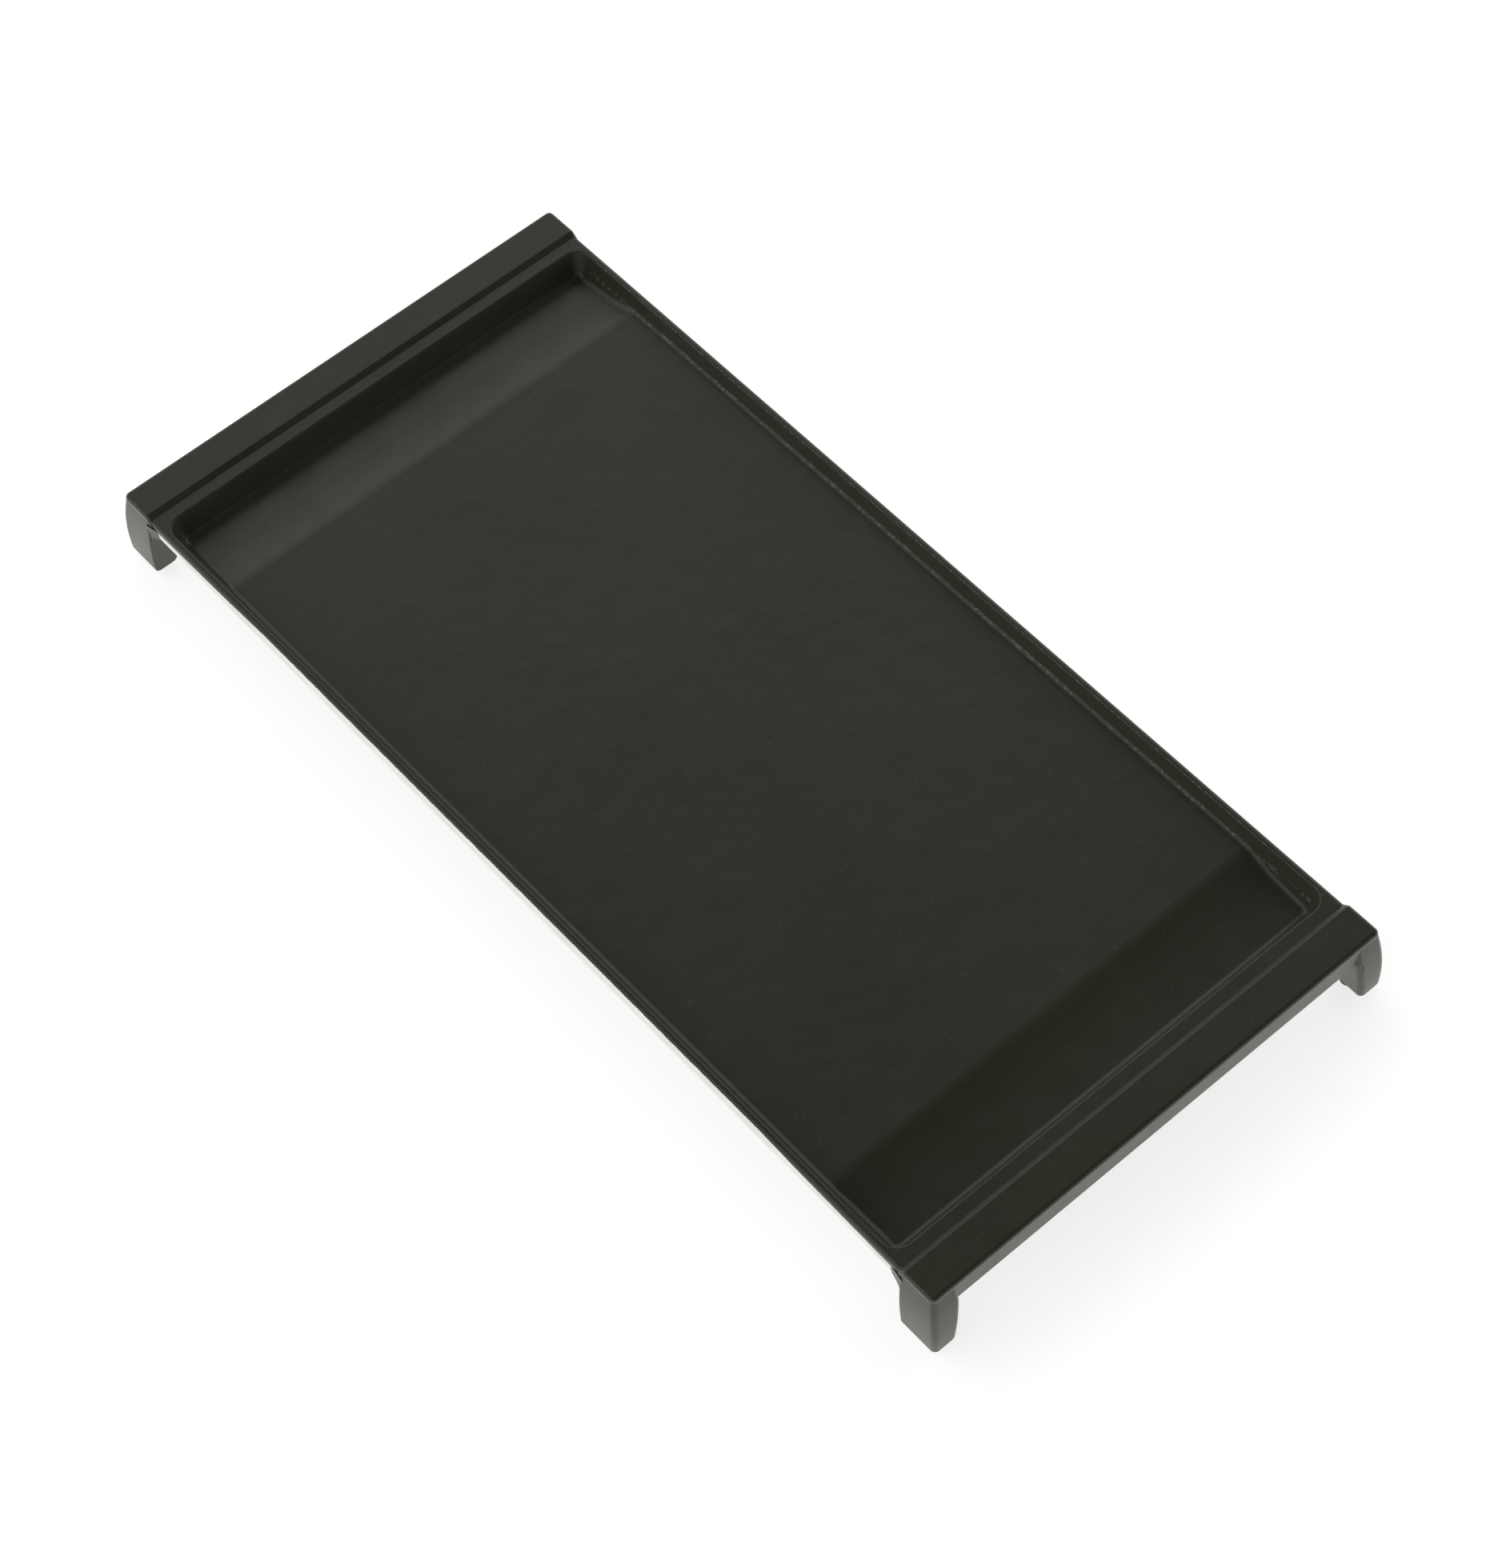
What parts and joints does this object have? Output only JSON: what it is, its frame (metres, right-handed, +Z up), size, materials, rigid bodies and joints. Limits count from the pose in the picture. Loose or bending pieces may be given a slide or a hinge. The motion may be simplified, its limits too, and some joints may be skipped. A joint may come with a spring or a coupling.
{
  "type": "stovetop griddle",
  "caption": "Long shallow cast griddle for the middle of a gas range: flat cooking plate, scooped grease trough at each end, raised end bars, and corner legs on small rubber feet.",
  "frame": {"origin": "on the surface the feet stand on, under the middle of the cooking plate", "axes": "+Z up, +Y along the length from the front end bar to the back one, +X across the width to the right"},
  "size_m": [0.2494, 0.5366, 0.0422],
  "materials": {
    "enamel_coat": "satin dark enamel with fine pale specks, ground bare on the two long side faces",
    "foot_rubber": "matt black rubber"
  },
  "bodies": {
    "root": {"griddle_casting": "enamel_coat", "foot_front_left": "foot_rubber", "foot_front_right": "foot_rubber", "foot_back_left": "foot_rubber", "foot_back_right": "foot_rubber"}
  },
  "joints": []
}
